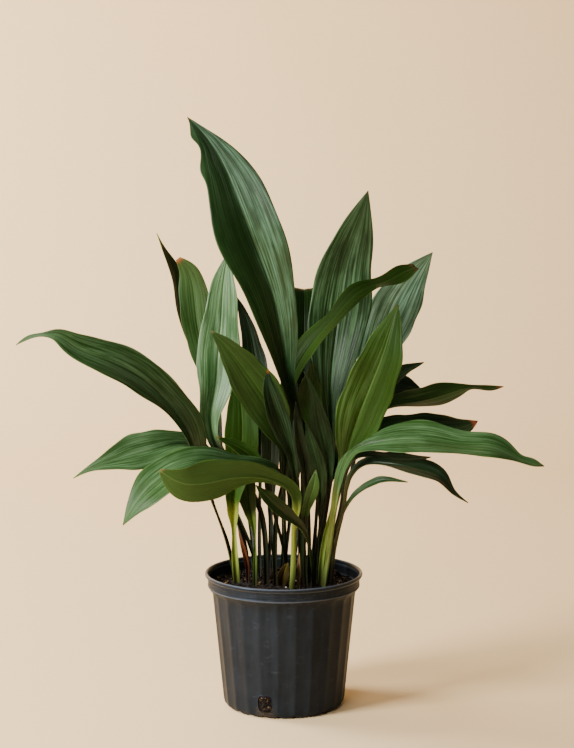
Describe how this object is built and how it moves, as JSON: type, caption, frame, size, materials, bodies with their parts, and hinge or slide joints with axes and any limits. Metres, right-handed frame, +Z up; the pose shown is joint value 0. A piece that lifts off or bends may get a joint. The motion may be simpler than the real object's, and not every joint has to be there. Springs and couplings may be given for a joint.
{
  "type": "potted cast iron plant",
  "caption": "Upright foliage house plant with long glossy arching leaves, growing from soil in a fluted round nursery pot with drain holes.",
  "frame": {"origin": "centre of the pot's underside, in the plane that it stands on", "axes": "+Z up out of the pot, +X to the right seen from the plant's front, and the front faces -Y"},
  "size_m": [0.7946, 0.5879, 0.9432],
  "materials": {
    "pot": "charcoal moulded plastic, satin with light scuffs",
    "soil": "loose dark bark and peat mix with a few white perlite grains",
    "rhizome": "rough pale brown rhizome with scale scars",
    "leaf_deep": "deep green leathery leaf, glossy over fine pleats",
    "leaf_dark": "very dark green leathery leaf, satin underside",
    "leaf_bright": "bright yellow-green young leaf, satin",
    "leaf_olive": "olive green leaf with a pale midrib, satin",
    "leaf_pale": "grey-green leathery leaf with a broad soft gloss",
    "dry_leaf": "dry brown papery sheath, matte"
  },
  "bodies": {
    "root": {"pot": "pot", "soil": "soil", "rhizome": "rhizome", "leaf_01": "leaf_deep", "leaf_02": "leaf_dark", "leaf_03": "leaf_deep", "leaf_04": "leaf_pale", "leaf_05": "leaf_dark", "leaf_06": "leaf_dark", "leaf_07": "leaf_deep", "leaf_08": "leaf_dark", "leaf_09": "leaf_bright", "leaf_10": "leaf_pale", "leaf_11": "leaf_deep", "leaf_12": "leaf_bright", "leaf_13": "leaf_deep", "leaf_14": "leaf_deep", "leaf_15": "leaf_deep", "leaf_16": "leaf_bright", "leaf_17": "leaf_olive", "leaf_18": "leaf_olive", "leaf_19": "leaf_bright", "leaf_20": "leaf_deep", "leaf_21": "leaf_dark", "leaf_22": "leaf_deep", "leaf_23": "leaf_olive", "leaf_24": "leaf_pale", "leaf_25": "leaf_bright", "leaf_26": "leaf_dark", "leaf_27": "leaf_dark", "leaf_28": "leaf_olive", "leaf_29": "leaf_dark", "leaf_30": "leaf_deep", "leaf_31": "leaf_dark", "leaf_32": "leaf_deep", "leaf_33": "leaf_dark", "leaf_34": "leaf_deep", "leaf_35": "leaf_deep", "leaf_36": "leaf_pale", "leaf_37": "leaf_deep", "leaf_38": "leaf_dark", "leaf_39": "leaf_dark", "young_shoot": "leaf_olive", "dry_sheath_1": "dry_leaf", "dry_sheath_2": "dry_leaf", "dead_stalk": "dry_leaf"}
  },
  "joints": []
}
